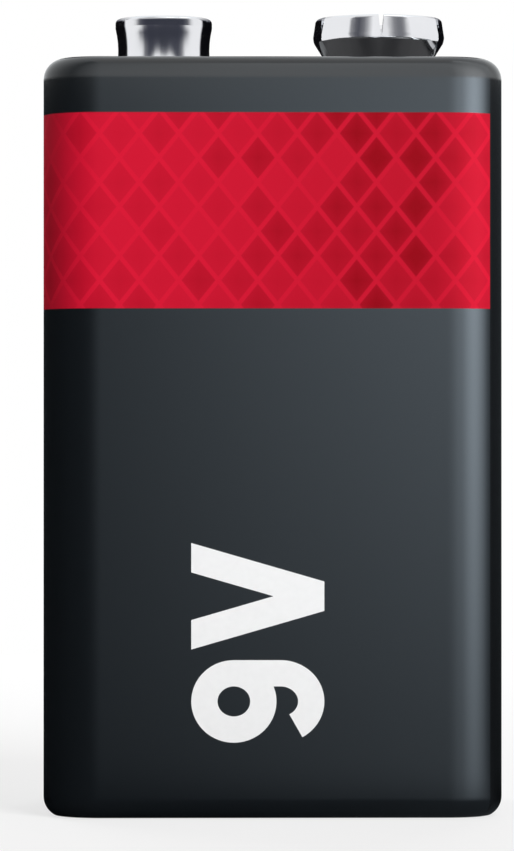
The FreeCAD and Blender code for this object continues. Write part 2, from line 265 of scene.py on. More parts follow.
class InsideSettings(bpy.types.PropertyGroup):
    """What a user would change on the pieces inside the case."""

    steel_colour: FloatVectorProperty(
        name="Cell steel", description="Colour of the cells' cans and caps", subtype="COLOR", size=3,
        min=0, max=1, default=(0.6, 0.6, 0.61),
    )
    seal_colour: FloatVectorProperty(
        name="Seals", description="Colour of the cells' seals", subtype="COLOR", size=3, min=0, max=1,
        default=(0.55, 0.52, 0.44),
    )
    sleeve_colour: FloatVectorProperty(
        name="Sleeves", description="Colour of the cells' sleeves", subtype="COLOR", size=3, min=0, max=1,
        default=(0.74, 0.76, 0.79),
    )
    # The sleeves' colour in the hollows of their wrinkles, which is painted shade
    wrinkle_shade_colour: FloatVectorProperty(
        name="Wrinkles", description="Colour of the sleeves in their wrinkles", subtype="COLOR", size=3,
        min=0, max=1, default=(0.62, 0.64, 0.67),
    )
    strip_colour: FloatVectorProperty(
        name="Strips", description="Colour of the nickel strips and leads", subtype="COLOR", size=3,
        min=0, max=1, default=(0.62, 0.6, 0.56),
    )
    fibre_colour: FloatVectorProperty(
        name="Fibre board", description="Lighter colour of the two pads", subtype="COLOR", size=3,
        min=0, max=1, default=(0.34, 0.24, 0.15),
    )
    fibre_dark_colour: FloatVectorProperty(
        name="Dark fibres", description="Darker colour of the two pads", subtype="COLOR", size=3,
        min=0, max=1, default=(0.17, 0.11, 0.06),
    )
    liner_colour: FloatVectorProperty(
        name="Liner", description="Lighter colour of the liner's paper", subtype="COLOR", size=3,
        min=0, max=1, default=(0.66, 0.63, 0.56),
    )
    liner_dark_colour: FloatVectorProperty(
        name="Dark liner", description="Darker colour of the liner's paper", subtype="COLOR", size=3,
        min=0, max=1, default=(0.5, 0.46, 0.38),
    )


class StageSettings(bpy.types.PropertyGroup):
    """What a user would change on the stage."""

    camera_distance: FloatProperty(
        name="Camera distance", description="From the camera to the battery's middle", default=0.25,
        unit="LENGTH",
    )
    camera_side: FloatProperty(
        name="Camera side", description="How far the camera stands to the left", default=0.004, unit="LENGTH",
    )
    key_light: FloatProperty(
        name="Key light", description="Brightness of the key lamp's face", default=11.2, min=0,
    )
    back_light: FloatProperty(
        name="Back light", description="Brightness of the two lamps behind the battery", default=5.0, min=0,
    )
    ambient: FloatProperty(
        name="Ambient light", description="Strength of the light from all round", default=0.15, min=0,
    )
    floor_white: FloatProperty(
        name="Floor white", description="Share of plain white in the floor at the battery's foot",
        default=0.7, min=0, max=1, subtype="FACTOR",
    )
    tent_radius: FloatProperty(
        name="Tent radius", description="From the battery to the cards that its gloss shows", default=60 * MM,
        unit="LENGTH",
    )
    ring_radius: FloatProperty(
        name="Ring radius", description="From a terminal's middle to the card round it", default=6.5 * MM,
        unit="LENGTH",
    )


class Term:
    """A shader value that can be used in a Python expression, which makes its Math nodes."""

    def __init__(self, finish, socket):
        self.finish = finish
        self.socket = socket

    def maths(self, operation, *others, clamp=False):
        settings = {"operation": operation, "use_clamp": clamp}
        return self.finish.node("ShaderNodeMath", settings, dict(enumerate((self, *others))))

    def __add__(self, other):
        return self.maths("ADD", other)

    __radd__ = __add__

    def __mul__(self, other):
        return self.maths("MULTIPLY", other)

    __rmul__ = __mul__

    def __sub__(self, other):
        return self.maths("SUBTRACT", other)

    def __rsub__(self, other):
        return (self * -1) + other

    def __truediv__(self, other):
        return self.maths("DIVIDE", other)

    def __abs__(self):
        return self.maths("ABSOLUTE")

    def __or__(self, other):
        """The larger of two masks."""
        return self.maths("MAXIMUM", other)

    def __and__(self, other):
        """The smaller of two masks."""
        return self.maths("MINIMUM", other)

    def floor(self):
        return self.maths("FLOOR")

    def cosine(self):
        return self.maths("COSINE")

    def past(self, edge, softness):
        """A mask that goes from 0 to 1 as the value passes the edge."""
        return ((self - edge) / softness).maths("ADD", 0.5, clamp=True)

    def about(self, middle, spread):
        """A number that strays half the spread to either side of its middle, as this goes from 0 to 1."""
        return self * spread + (middle - spread / 2)


class Finish:
    """A material or world while its shader is being built."""

    def __init__(self, owner, output):
        owner.use_nodes = True
        self.owner = owner
        self.tree = owner.node_tree
        self.tree.nodes.clear()
        self.output = self.tree.nodes.new(output)

    def node(self, kind, settings=None, inputs=None, output=0):
        """Makes one node: its settings first, then the value or link of each socket."""
        made = self.tree.nodes.new(kind)
        for key, value in (settings or {}).items():
            if key == "stops":
                self.set_stops(made.color_ramp, value)
            else:
                setattr(made, key, value)
        for key, value in (inputs or {}).items():
            self.feed(made.inputs[key], value)
        return Term(self, made.outputs[output])

    def feed(self, socket, value):
        """Links a term to a socket, or sets the socket to a plain value."""
        if isinstance(value, Term):
            self.tree.links.new(value.socket, socket)
        elif socket.type == "RGBA" and len(value) == 3:
            socket.default_value = (*value, 1)
        else:
            socket.default_value = value

    @staticmethod
    def set_stops(ramp, stops):
        for place, _ in stops[len(ramp.elements):]:
            ramp.elements.new(place)
        for element, (place, colour) in zip(ramp.elements, stops):
            element.position = place
            element.color = (*colour, 1)

    def mix(self, share, first, second):
        """The first colour where share is 0 and the second where it is 1."""
        settings = {"data_type": "RGBA"}
        inputs = {"Factor": share, 6: first, 7: second}
        return self.node("ShaderNodeMix", settings, inputs, output=2)

    def place(self):
        """The point being shaded, in the battery's own frame."""
        return self.node("ShaderNodeTexCoord", output="Object")

    def axes(self):
        """The three coordinates of the point being shaded."""
        split = self.node("ShaderNodeSeparateXYZ", inputs={0: self.place()}).socket.node
        return [Term(self, socket) for socket in split.outputs]

    def stretched(self, x, y, z):
        """The point being shaded, with each coordinate multiplied by its own number."""
        inputs = {"Vector": self.place(), "Scale": (x, y, z)}
        return self.node("ShaderNodeMapping", inputs=inputs)

    def noise(self, scale, detail, place=None):
        """Smooth noise from 0 to 1, with features about one metre over scale across."""
        inputs = {"Vector": place or self.place(), "Scale": scale, "Detail": detail}
        return self.node("ShaderNodeTexNoise", inputs=inputs)

    def bump(self, height, strength, distance):
        """The way that a surface faces, with a relief whose height goes from 0 to the distance."""
        inputs = {"Height": height, "Strength": strength, "Distance": distance}
        return self.node("ShaderNodeBump", inputs=inputs)

    def coat(self, **sockets):
        """One principled shader, with its sockets named as in Base_Color."""
        inputs = {name.replace("_", " "): value for name, value in sockets.items()}
        return self.node("ShaderNodeBsdfPrincipled", inputs=inputs)

    def ended(self, shader):
        """The material or world, now that its last shader is known."""
        self.tree.links.new(shader.socket, self.output.inputs["Surface"])
        return self.owner

    def surface(self, **sockets):
        """A material of one principled shader."""
        return self.ended(self.coat(**sockets))

    def one_sided(self, shader):
        """A material that is clear when it is seen from behind."""
        behind = self.node("ShaderNodeNewGeometry", output="Backfacing")
        clear = self.node("ShaderNodeBsdfTransparent")
        return self.ended(self.node("ShaderNodeMixShader", inputs={0: behind, 1: shader, 2: clear}))


def new_finish(name):
    """A named material, empty, ready for its nodes."""
    return Finish(bpy.data.materials.new(name), "ShaderNodeOutputMaterial")


def shaded(colour, share):
    """A colour with each channel multiplied by a share, and none past 1."""
    return tuple(min(1, share * channel) for channel in colour)


def belt_shade(finish, settings, around, up, around_total):
    """How far the belt goes from its lighter red to its darker one.

    Lozenges of uneven depth, deepest in their middles, lie between lines without depth, over a tone that
    swells twice on the way round and is weaker beside the lap, where the lighter red is a painted highlight
    on the right front corner. Rising and falling grow by 1 from line to line, along the two ways that the
    lines slant.
    """
    cell_width = around_total / settings.lozenges_around
    line_step = math.hypot(1 / cell_width, 1 / settings.lozenge_height)
    rising = around / cell_width + up / settings.lozenge_height
    falling = around / cell_width - up / settings.lozenge_height
    rising_cell = rising.floor()
    falling_cell = falling.floor()

    def line(value):
        """A mask along the lines where the value is whole."""
        off = abs(value - (value + 0.5).floor()) / line_step
        return 1 - off.past(settings.line_width / 2, PRINT_SOFTNESS)

    lines = line(rising) | line(falling)
    cell = finish.node("ShaderNodeCombineXYZ", inputs={0: rising_cell, 1: falling_cell})
    chance = finish.node("ShaderNodeTexWhiteNoise", {"noise_dimensions": "3D"}, {"Vector": cell})
    off_middle = abs(rising - rising_cell - 0.5) | abs(falling - falling_cell - 0.5)
    depth = 1 - off_middle * (2 * DEPTH_LOSS)
    twice_round = around * (2 * math.tau / around_total) - TONE_TURN
    # Beside the lap, on the right front corner, the tone is weaker: a painted highlight on the red
    outside_painted_highlight = around.past(HIGHLIGHT_END, HIGHLIGHT_SOFTNESS) * (1 - HIGHLIGHT_TONE_SHARE) + HIGHLIGHT_TONE_SHARE
    tone = (twice_round.cosine() * TONE_SWELL + TONE_MIDDLE) * outside_painted_highlight
    lozenge = chance * depth * (tone * LOZENGE_TONE + CHANCE_DEPTH) + LEAST_DEPTH
    shade = lozenge * (1 - lines) + tone * BELT_TONE
    return shade.maths("ADD", 0.0, clamp=True)


def film_finish(settings, around_total):
    """Satin film with a printed belt of lozenges, whose red is lighter at the right front corner as a painted
    highlight. Around is the way round from the film's end.
    """
    finish = new_finish("printed_film")
    around = finish.node("ShaderNodeAttribute", {"attribute_name": "around"}, output="Fac")
    up = finish.axes()[2]
    shade = belt_shade(finish, settings, around, up, around_total)
    red = finish.mix(shade, settings.belt_colour, settings.lozenge_colour)
    belt = up.past(settings.belt_low, PRINT_SOFTNESS) & (1 - up.past(settings.belt_high, PRINT_SOFTNESS))
    printed = 1 - around.past(around_total - settings.margin, PRINT_SOFTNESS)
    smudge = finish.noise(scale=90, detail=3)
    waves = finish.noise(scale=160, detail=1)
    grain = finish.noise(scale=5200, detail=2)
    grain_share = 0.03
    relief = finish.bump(waves + grain * grain_share, strength=0.12, distance=0.05 * MM)
    plain = finish.coat(
        Base_Color=finish.mix(printed, settings.margin_colour, settings.film_colour),
        Roughness=smudge.about(0.16, spread=0.06),
        Normal=relief,
    )
    ink = finish.coat(
        Base_Color=red,
        Roughness=smudge.about(0.35, spread=0.1),
        Specular_IOR_Level=0.05,
        Normal=relief,
    )
    return finish.ended(finish.node("ShaderNodeMixShader", inputs={0: belt & printed, 1: plain, 2: ink}))


def ink_finish(settings):
    """White printing ink, slightly uneven where the film takes it."""
    finish = new_finish("white_ink")
    cover = finish.noise(scale=2600, detail=3)
    return finish.surface(
        Base_Color=finish.mix(cover, shaded(settings.ink_colour, 0.93), settings.ink_colour),
        Roughness=cover.about(0.38, spread=0.08),
    )


def plating_finish(settings):
    """Bright nickel plate on drawn sheet, with faint marks of the drawing and handling."""
    finish = new_finish("terminal_plating")
    drawn = finish.noise(scale=1500, detail=2, place=finish.stretched(1, 1, 0.08))
    handled = finish.noise(scale=700, detail=4)
    return finish.surface(
        Base_Color=finish.mix(handled, shaded(settings.plating_colour, 0.95), settings.plating_colour),
        Metallic=1.0,
        Roughness=handled.about(settings.plating_roughness, spread=0.05),
        Normal=finish.bump(drawn, strength=0.05, distance=0.01 * MM),
    )


def tinplate_finish(settings):
    """Rolled tinplate: satin, with fine lines along the roll."""
    finish = new_finish("tinplate")
    rolled = finish.noise(scale=3000, detail=3, place=finish.stretched(1, 1, 0.02))
    return finish.surface(
        Base_Color=finish.mix(rolled, shaded(settings.tinplate_colour, 0.9), settings.tinplate_colour),
        Metallic=1.0,
        Roughness=rolled.about(settings.tinplate_roughness, spread=0.12),
        Normal=finish.bump(rolled, strength=0.15, distance=0.01 * MM),
    )


def strip_finish(name, colour, stretch):
    """Nickel strip or cell steel: satin metal with lines along one way and a mottle over it."""
    finish = new_finish(name)
    lines = finish.noise(scale=2400, detail=3, place=finish.stretched(*stretch))
    mottle = finish.noise(scale=500, detail=3)
    return finish.surface(
        Base_Color=finish.mix(mottle, shaded(colour, 0.82), colour),
        Metallic=1.0,
        Roughness=lines.about(0.33, spread=0.14),
        Normal=finish.bump(lines, strength=0.12, distance=0.01 * MM),
    )


def moulded_finish(name, colour, roughness):
    """Moulded plastic with a fine spark-eroded grain."""
    finish = new_finish(name)
    grain = finish.noise(scale=5200, detail=2)
    flow = finish.noise(scale=260, detail=2)
    return finish.surface(
        Base_Color=finish.mix(flow, colour, shaded(colour, 1.25)),
        Roughness=grain.about(roughness, spread=0.1),
        Normal=finish.bump(grain, strength=0.3, distance=0.02 * MM),
    )


def fibre_finish(name, colour, dark):
    """Pressed fibre board or paper: matt, with short fibres lying all ways."""
    finish = new_finish(name)
    fibres = finish.noise(scale=2200, detail=6, place=finish.stretched(1, 0.25, 1))
    cloud = finish.noise(scale=400, detail=3)
    fibre_share = 0.7
    return finish.surface(
        Base_Color=finish.mix(fibres * fibre_share + cloud * (1 - fibre_share), dark, colour),
        Roughness=0.85,
        Normal=finish.bump(fibres, strength=0.35, distance=0.02 * MM),
    )


def shrunk_finish(settings):
    """The cells' shrunk sleeves: pale glossy film with soft upright wrinkles, painted darker in their hollows
    as shade.
    """
    finish = new_finish("sleeve_film")
    wrinkle = finish.noise(scale=900, detail=3, place=finish.stretched(1, 1, 0.12))
    return finish.surface(
        # Darker where the wrinkles' relief is low: painted shade in their hollows
        Base_Color=finish.mix(wrinkle, settings.wrinkle_shade_colour, settings.sleeve_colour),
        Roughness=wrinkle.about(0.31, spread=0.1),
        Normal=finish.bump(wrinkle, strength=0.25, distance=0.03 * MM),
    )


def set_values(mesh, name, values):
    """Stores one number at each point of a mesh."""
    mesh.attributes.new(name, "FLOAT", "POINT").data.foreach_set("value", np.ravel(values))


def weld(mesh):
    """Closes up edges without length and faces without area, where a step in a surface runs out."""
    surface = bmesh.new()
    surface.from_mesh(mesh)
    bmesh.ops.dissolve_degenerate(surface, dist=WELD_DISTANCE, edges=surface.edges)
    surface.to_mesh(mesh)
    surface.free()


def new_object(name, data):
    """An object of the scene, with its data."""
    made = bpy.data.objects.new(name, data)
    bpy.context.scene.collection.objects.link(made)
    return made


def new_mesh(name, vertices, faces, material):
    """A mesh of one material, from its points and the faces between them."""
    mesh = bpy.data.meshes.new(name)
    mesh.from_pydata(vertices.reshape(-1, 3).tolist(), [], faces)
    mesh.materials.append(material)
    return mesh


def new_piece(name, vertices, faces, material, slot, **values):
    """A mesh object whose place is in its vertices, riding on the battery, with its values at each point."""
    mesh = new_mesh(name, vertices, faces, material)
    for key, numbers in values.items():
        set_values(mesh, key, numbers)
    weld(mesh)
    mesh.shade_smooth()
    mesh.set_sharp_from_angle(angle=SHARP_ANGLE)
    piece = new_object(name, mesh)
    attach(piece, BODY)
    return piece


def ring_faces(rows, columns, wrap_rows):
    """Quads of a grid numbered row by row, whose columns wrap round, and whose rows may too."""
    last = rows if wrap_rows else rows - 1
    row, column = np.meshgrid(np.arange(last), np.arange(columns), indexing="ij")
    next_row = (row + 1) % rows
    next_column = (column + 1) % columns
    corners = (row * columns + column, next_row * columns + column)
    corners += (next_row * columns + next_column, row * columns + next_column)
    return np.stack(corners, axis=-1).reshape(-1, 4).tolist()


def turned_over(faces):
    """The same faces, looking the other way."""
    return [face[::-1] for face in faces]


def film_outline(steps):
    """The film's outline seen from above, from its outer end round to the same place again.

    The turn is the way that the surface faces, from the front towards +X. It falls from the lap's end
    through a whole circle. A point is its corner's centre, plus the corner radius along the way it
    faces. Each quarter begins and ends with a point a little way along the straight.
    """
    half_x = FILM_HIGH.x - CORNER_RADIUS
    half_y = FILM_HIGH.y - CORNER_RADIUS
    quarter = math.pi / 2
    first = np.linspace(LAP_END, 0, steps)
    last = np.linspace(quarter, LAP_END, steps)
    whole = np.linspace(quarter, 0, steps)
    spans = [first] + [whole - quarter * n for n in (1, 2, 3)] + [last - 4 * quarter]
    centres = [(half_x, -half_y), (-half_x, -half_y), (-half_x, half_y), (half_x, half_y), (half_x, -half_y)]
    turns, slides, middles = [], [], []
    for number, (span, centre) in enumerate(zip(spans, centres)):
        lead = [] if number == 0 else [-GUARD]
        tail = [] if number == len(spans) - 1 else [GUARD]
        turns.append(np.concatenate([[span[0]] * len(lead), span, [span[-1]] * len(tail)]))
        slides.append(np.concatenate([lead, np.zeros(len(span)), tail]))
        middles.append(np.repeat([centre], len(turns[-1]), axis=0))
    turn = np.concatenate(turns)
    slide = np.concatenate(slides)
    middle = np.concatenate(middles)
    facing = np.stack([np.sin(turn), -np.cos(turn)], axis=-1)
    onward = np.stack([-np.cos(turn), -np.sin(turn)], axis=-1)
    points = middle + CORNER_RADIUS * facing + slide[:, None] * onward
    lap = np.clip((turn - LAP_START) / (LAP_END - LAP_START), 0, 1)
    return points, facing, lap


def film_section(steps):
    """The film's section from its foot, up the outside, over the top edge, and back down the inside.

    Outside, the inset is the edge radius less itself times the cosine of the turn, and the height is the
    round's centre plus the radius times the sine. Inside, the radius is one film thickness less.
    """
    low_centre = EDGE_RADIUS - FILM_THICKNESS
    high_centre = FILM_HIGH.z - EDGE_RADIUS
    inset, height, lift = [], [], []
    for radius in (EDGE_RADIUS, EDGE_RADIUS - FILM_THICKNESS):
        foot_turn = math.asin((low_centre - FILM_LOW.z) / radius)
        low = np.linspace(foot_turn, 0, steps)
        high = np.linspace(0, math.pi / 2, steps)
        wall = EDGE_RADIUS - radius
        lip = high_centre + radius
        side_inset = np.concatenate(
            [EDGE_RADIUS - radius * np.cos(low), [wall, wall], EDGE_RADIUS - radius * np.cos(high),
             [EDGE_RADIUS + GUARD, FILM_TURN_IN]]
        )
        side_height = np.concatenate(
            [low_centre - radius * np.sin(low), [low_centre + GUARD, high_centre - GUARD],
             high_centre + radius * np.sin(high), [lip, lip]]
        )
        side_lift = np.concatenate([np.cos(low), [1, 1], np.cos(high), [0, 0]])
        outside = radius == EDGE_RADIUS
        inset.append(side_inset if outside else side_inset[::-1])
        height.append(side_height if outside else side_height[::-1])
        lift.append(side_lift if outside else np.zeros(len(side_lift)))
    return np.concatenate(inset), np.concatenate(height), np.concatenate(lift)


def make_film(settings):
    """The printed film: its section carried round its outline.

    A point is the outline's, moved in by the section's inset and out by the lap, at the section's height.
    """
    outline, facing, lap = film_outline(settings.corner_steps)
    inset, height, lift = film_section(settings.corner_steps // 2)
    outward = lap[:, None] * lift[None, :] * FILM_THICKNESS - inset[None, :]
    plan = outline[:, None, :] + facing[:, None, :] * outward[:, :, None]
    upright = np.broadcast_to(height[None, :, None], plan.shape[:2] + (1,))
    vertices = np.concatenate([plan, upright], axis=-1)
    around = np.concatenate([[0], np.cumsum(np.linalg.norm(np.diff(outline, axis=0), axis=1))])
    faces = turned_over(ring_faces(len(outline), len(height), wrap_rows=True))
    finish = film_finish(settings, float(around[-1]))
    at_points = np.repeat(around, len(height))
    return new_piece("printed_film", vertices, faces, finish, "printed_film", around=at_points)


def stand_up(outline, thickness, place):
    """A flat outline carried through a thickness: its points below the surface, then the same above.

    Place turns across, along and outwards into a point of the battery's frame.
    """
    count = len(outline)
    flat = np.tile(outline, (2, 1))
    out = np.repeat([-thickness, thickness], count)
    vertices = place(flat[:, 0], flat[:, 1], out)
    sides = turned_over(ring_faces(2, count, wrap_rows=False))
    return vertices, sides + [list(range(count))[::-1], list(range(count, 2 * count))]


def nine_bowl(height, stroke):
    """The middle line of a nine's closed bowl: an ellipse, its half width times the cosine of the turn
    across, and its half height times the sine along."""
    half_width = NINE_HALF_WIDTH * height - stroke / 2
    half_height = BOWL_HALF_HEIGHT * height - stroke / 2
    centre = (1 - BOWL_HALF_HEIGHT) * height
    turn = np.linspace(0, math.tau, 2 * FIGURE_STEPS, endpoint=False)
    return np.stack([half_width * np.cos(turn), centre + half_height * np.sin(turn)], axis=-1)


def nine_tail(height, stroke):
    """The middle line of a nine's tail: down from the bowl's right side, then round a lower ellipse."""
    half_width = NINE_HALF_WIDTH * height - stroke / 2
    half_height = TAIL_HALF_HEIGHT * height - stroke / 2
    centre = TAIL_HALF_HEIGHT * height
    top = (1 - BOWL_HALF_HEIGHT) * height
    turn = np.linspace(0, TAIL_TURN, FIGURE_STEPS)
    across = np.concatenate([[half_width], half_width * np.cos(turn)])
    along = np.concatenate([[top], centre + half_height * np.sin(turn)])
    return np.stack([across, along], axis=-1)


def band_along(path, stroke, thickness, place, closed=False):
    """A flat band carried along a path: at each point its two edges lie half a stroke to either side,
    at right angles to the chord between the neighbouring points."""
    count = len(path)
    if closed:
        chord = np.roll(path, -1, axis=0) - np.roll(path, 1, axis=0)
    else:
        chord = np.gradient(path, axis=0)
    chord /= np.linalg.norm(chord, axis=1)[:, None]
    side = np.stack([chord[:, 1], -chord[:, 0]], axis=-1) * (stroke / 2)
    edges = np.stack([path + side, path + side, path - side, path - side], axis=1)
    out = np.broadcast_to(np.array([-thickness, thickness, thickness, -thickness]), edges.shape[:2])
    vertices = place(edges[..., 0].ravel(), edges[..., 1].ravel(), out.ravel())
    ends = [] if closed else [[0, 1, 2, 3], [4 * count - 1, 4 * count - 2, 4 * count - 3, 4 * count - 4]]
    return vertices, ring_faces(count, 4, wrap_rows=closed) + ends


def letter_v(height, stroke):
    """The outline of a capital V, counterclockwise from the left of its foot.

    The inner edges run along the outer ones, so they meet at the height times the leg's width less half
    the foot's, over half the top's width less half the foot's.
    """
    half_top = V_HALF_WIDTH * height
    leg = V_LEG * stroke
    half_foot = leg / 2
    crotch = height * (leg - half_foot) / (half_top - half_foot)
    points = [
        (-half_foot, 0), (half_foot, 0), (half_top, height), (half_top - leg, height),
        (0, crotch), (leg - half_top, height), (-half_top, height),
    ]
    return np.array(points)


def bar(half_long, half_wide):
    """The outline of a minus: a bar across."""
    return np.array(
        [(-half_long, -half_wide), (half_long, -half_wide), (half_long, half_wide), (-half_long, half_wide)]
    )


def cross(half_long, half_wide):
    """The outline of a plus, counterclockwise from the foot of its lower arm."""
    arm = np.array([(-half_wide, -half_long), (half_wide, -half_long), (half_wide, -half_wide)])
    quarter = np.array([[0, 1], [-1, 0]])
    return np.concatenate([arm @ np.linalg.matrix_power(quarter, number) for number in range(4)])


def on_front(foot_x, low_z):
    """Places a flat sign on the front face, reading upwards."""
    def place(across, along, out):
        x = foot_x - along
        y = FILM_LOW.y - out
        z = low_z + across
        return np.stack([x, y, z], axis=-1)
    return place


def on_board(x, y):
    """Places a flat mark on top of the board."""
    def place(across, along, out):
        return np.stack([x + across, y + along, BOARD_TOP + out], axis=-1)
    return place


def dress(material, *nodes):
    """Gives CAD nodes one material."""
    for name in nodes:
        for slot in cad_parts[name].material_slots:
            slot.material = material


class BATTERY_OT_film(bpy.types.Operator):
    """Makes the printed film that wraps the battery"""

    bl_idname = "battery.film"
    bl_label = "Printed Film"

    def execute(self, context):
        film = make_film(context.scene.battery_film)
        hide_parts("label_film")
        return {"FINISHED"}


class BATTERY_OT_signs(bpy.types.Operator):
    """Prints the sign on the front and moulds the plus and minus on the board"""

    bl_idname = "battery.signs"
    bl_label = "Signs"

    def execute(self, context):
        settings = context.scene.battery_signs
        ink = ink_finish(settings)
        height = settings.sign_height
        stroke = settings.stroke
        thickness = settings.ink_thickness
        nine_middle = settings.sign_low_z + NINE_HALF_WIDTH * height
        v_middle = nine_middle + (NINE_HALF_WIDTH + FIGURE_GAP + V_HALF_WIDTH) * height
        on_nine = on_front(settings.sign_foot_x, nine_middle)
        bowl = band_along(nine_bowl(height, stroke), stroke, thickness, on_nine, closed=True)
        tail = band_along(nine_tail(height, stroke), stroke, TAIL_INK * thickness, on_nine)
        volts = stand_up(letter_v(height, stroke), thickness, on_front(settings.sign_foot_x, v_middle))
        new_piece("nine_bowl", *bowl, ink, "printed_film")
        new_piece("nine_tail", *tail, ink, "printed_film")
        new_piece("letter_v", *volts, ink, "printed_film")
        half = settings.mark_size / 2
        wide = settings.mark_stroke / 2
        gap_middle = (STUD_HIGH.x + SOCKET_LOW.x) / 2
        for name, outline, side in (("plus_mark", cross(half, wide), -1), ("minus_mark", bar(half, wide), 1)):
            place = on_board(gap_middle + side * MARK_OFFSET * settings.mark_size, 0)
            new_piece(name, *stand_up(outline, settings.mark_height, place), ink, "board_plastic")
        return {"FINISHED"}


class BATTERY_OT_case(bpy.types.Operator):
    """Finishes the jacket, the board, the base plate and the terminals"""

    bl_idname = "battery.case"
    bl_label = "Case and Terminals"

    def execute(self, context):
        settings = context.scene.battery_case
        rivet = strip_finish("rivet_steel", settings.rivet_colour, stretch=(1, 1, 1))
        board = moulded_finish("board_plastic", settings.board_colour, roughness=0.42)
        dress(plating_finish(settings), "positive_stud", "negative_socket")
        dress(tinplate_finish(settings), "jacket")
        dress(rivet, "terminal_rivets")
        dress(board, "terminal_board", "base_plate")
        return {"FINISHED"}


class BATTERY_OT_inside(bpy.types.Operator):
    """Finishes the cells, strips, pads and liner inside the case"""

    bl_idname = "battery.inside"
    bl_label = "Inside"

    def execute(self, context):
        settings = context.scene.battery_inside
        names = sorted(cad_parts)
        cans = [name for name in names if name.startswith(("cell_can", "cell_cap"))]
        seals = [name for name in names if name.startswith("cell_seal")]
        sleeves = [name for name in names if name.startswith("cell_sleeve")]
        strips = [name for name in names if name.endswith("_lead") or "_link_" in name]
        board = fibre_finish("fibre_board", settings.fibre_colour, settings.fibre_dark_colour)
        paper = fibre_finish("liner_paper", settings.liner_colour, settings.liner_dark_colour)
        dress(strip_finish("cell_steel", settings.steel_colour, stretch=(1, 1, 0.03)), *cans)
        dress(moulded_finish("seal_plastic", settings.seal_colour, roughness=0.5), *seals)
        dress(shrunk_finish(settings), *sleeves)
        dress(strip_finish("nickel_strip", settings.strip_colour, stretch=(0.05, 1, 1)), *strips)
        dress(board, "top_pad", "base_pad")
        dress(paper, "cell_liner")
        return {"FINISHED"}


def seen_white(finish):
    """1 for a ray from the camera, or one that metal or glass sends on, and 0 for the light itself."""
    path = finish.node("ShaderNodeLightPath").socket.node
    camera, glossy, through = (
        Term(finish, path.outputs[name]) for name in ("Is Camera Ray", "Is Glossy Ray", "Is Transmission Ray")
    )
    return camera | glossy | through


def make_world(settings):
    """Plain white to the eye, and a soft even light to the battery."""
    world = bpy.data.worlds.new("studio")
    bpy.context.scene.world = world
    finish = Finish(world, "ShaderNodeOutputWorld")
    strength = seen_white(finish) * (1 - settings.ambient) + settings.ambient
    finish.ended(finish.node("ShaderNodeBackground", inputs={"Color": (1, 1, 1), "Strength": strength}))


def stage_piece(name, vertices, faces, material):
    """A mesh that stands on the stage and isn't part of the battery."""
    piece = new_object(name, new_mesh(name, vertices, faces, material))
    return piece


def make_floor(settings):
    """A pale floor, plain white to the camera further off, that takes the battery's shadow near its foot.

    It is clear from below, so that the base can be seen.
    """
    vertices = FLOOR_HALF * np.array([(-1, -1, 0), (1, -1, 0), (1, 1, 0), (-1, 1, 0)])
    finish = new_finish("floor_paper")
    matt = finish.node("ShaderNodeBsdfDiffuse", inputs={"Color": (0.86, 0.86, 0.86)})
    white = finish.node("ShaderNodeEmission", inputs={"Color": (1, 1, 1), "Strength": 1.0})
    x, y, _ = finish.axes()
    far = (x * x + y * y).maths("SQRT").past(FLOOR_FADE, FLOOR_FADE_WIDTH)
    share = seen_white(finish) * (far * (1 - settings.floor_white) + settings.floor_white)
    both = finish.node("ShaderNodeMixShader", inputs={0: share, 1: matt, 2: white})
    stage_piece("floor", vertices, [(0, 1, 2, 3)], finish.one_sided(both))


def between(value, marks):
    """The number for a value, on the straight lines between marks, each a value and its number."""
    return np.interp(value, *zip(*marks))


def film_tone(azimuth, height, radius):
    """How bright the card round the battery is: grey in front, bright at the right, and black at the left
    and behind but for a pale strip in the middle of the back. It is brighter with the height, and dark on
    the floor close by.

    Azimuth is in degrees from the front towards +X. Between two marks the tone is on the line that joins
    them, and it is multiplied by a number for the height and one for the radius.
    """
    marks = (
        (-180, 1.0), (-168, 1.0), (-166, 0.02), (-40, 0.02), (-28, 0.06), (-20, 0.18), (-11, 0.42),
        (-7, 0.58), (0, 0.9), (6, 1.15), (12, 1.4), (20, 1.7), (28, 2.2), (36, 3.1), (44, 4.3), (52, 4.9),
        (59, 4.4), (66, 3.2), (72, 2.0), (78, 0.9), (85, 0.25), (100, 0.08), (166, 0.02), (168, 1.0),
        (180, 1.0),
    )
    rise = between(height / MM, ((0, 0.45), (10, 0.7), (22, 1.0), (35, 1.3), (48, 1.6)))
    reach = between(radius / MM, ((0, 0.04), (22, 0.04), (40, 1.0)))
    on_floor = height < 1 * MM
    return between(azimuth, marks) * rise * np.where(on_floor, reach, 1.0)


def dome_tone(azimuth, height, radius):
    """How bright the card over the battery's shoulder is: pale behind, darker at the left front, bright in
    front and at the right, and brightest low down where the right front corner faces it."""
    marks = ((-180, 1.0), (-100, 1.0), (-60, 0.4), (-25, 1.2), (0, 2.0), (90, 2.0), (110, 1.0), (180, 1.0))
    corner = ((-180, 0.0), (24, 0.0), (40, 0.8), (52, 1.0), (66, 0.8), (82, 0.0), (180, 0.0))
    low = between(height / MM, ((48, 2.6), (60, 2.4), (75, 1.8), (88, 0.8), (105, -1.0)))
    return between(azimuth, marks) + between(azimuth, corner) * low


def over_top(height):
    """How bright a terminal's card is above the terminal, as its rounded rim shows it: paler upwards."""
    return between((height - STUD_HIGH.z) / MM, ((0.9, 0.0), (1.5, 0.2), (2.6, 0.55), (4.0, 0.95)))


